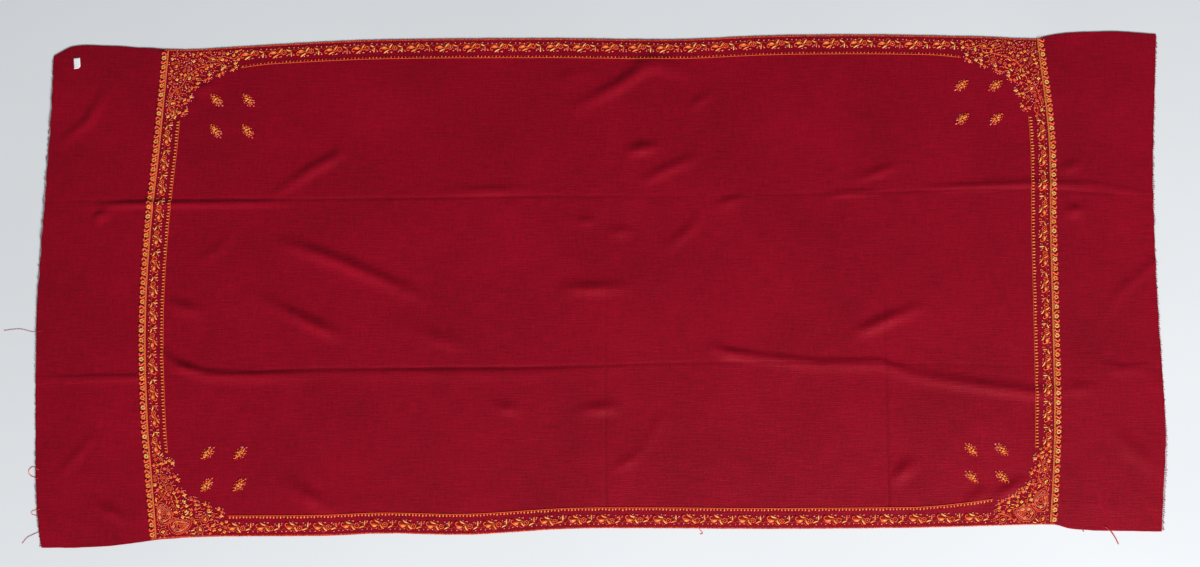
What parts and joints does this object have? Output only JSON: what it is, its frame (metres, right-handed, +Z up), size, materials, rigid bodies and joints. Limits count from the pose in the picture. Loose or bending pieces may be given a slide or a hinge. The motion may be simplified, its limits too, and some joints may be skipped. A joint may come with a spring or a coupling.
{
  "type": "embroidered wool shawl laid flat",
  "caption": "Rectangular woven wool shawl lying flat with soft creases, raw ends, embroidered borders, corner groups and small sprigs.",
  "frame": {"origin": "middle of the underside, on the surface that the shawl lies on", "axes": "+X along the shawl's length, towards the end without the label; +Y across it, towards the long edge beside the label; +Z up from the surface"},
  "size_m": [2.0301, 0.9325, 0.0101],
  "materials": {
    "wool_cloth": "matt deep red wool in a fine plain weave, slightly napped",
    "gold_thread": "golden yellow embroidery thread, soft sheen",
    "orange_thread": "orange embroidery thread, soft sheen",
    "coral_thread": "coral red embroidery thread, soft sheen",
    "cream_thread": "cream embroidery thread, soft sheen",
    "label_tape": "white woven tape, blank"
  },
  "bodies": {
    "root": {"cloth": "wool_cloth", "edging_left": "gold_thread", "edging_right": "gold_thread", "border_left": "orange_thread", "border_right": "orange_thread", "border_top": "orange_thread", "border_bottom": "orange_thread", "corner_top_left": "coral_thread", "corner_top_right": "coral_thread", "corner_bottom_left": "coral_thread", "corner_bottom_right": "coral_thread", "sprig_top_left_1": "cream_thread", "sprig_top_left_2": "cream_thread", "sprig_top_left_3": "cream_thread", "sprig_top_left_4": "cream_thread", "sprig_top_right_1": "cream_thread", "sprig_top_right_2": "cream_thread", "sprig_top_right_3": "cream_thread", "sprig_top_right_4": "cream_thread", "sprig_bottom_left_1": "cream_thread", "sprig_bottom_left_2": "cream_thread", "sprig_bottom_left_3": "cream_thread", "sprig_bottom_left_4": "cream_thread", "sprig_bottom_right_1": "cream_thread", "sprig_bottom_right_2": "cream_thread", "sprig_bottom_right_3": "cream_thread", "sprig_bottom_right_4": "cream_thread", "label": "label_tape"}
  },
  "joints": []
}
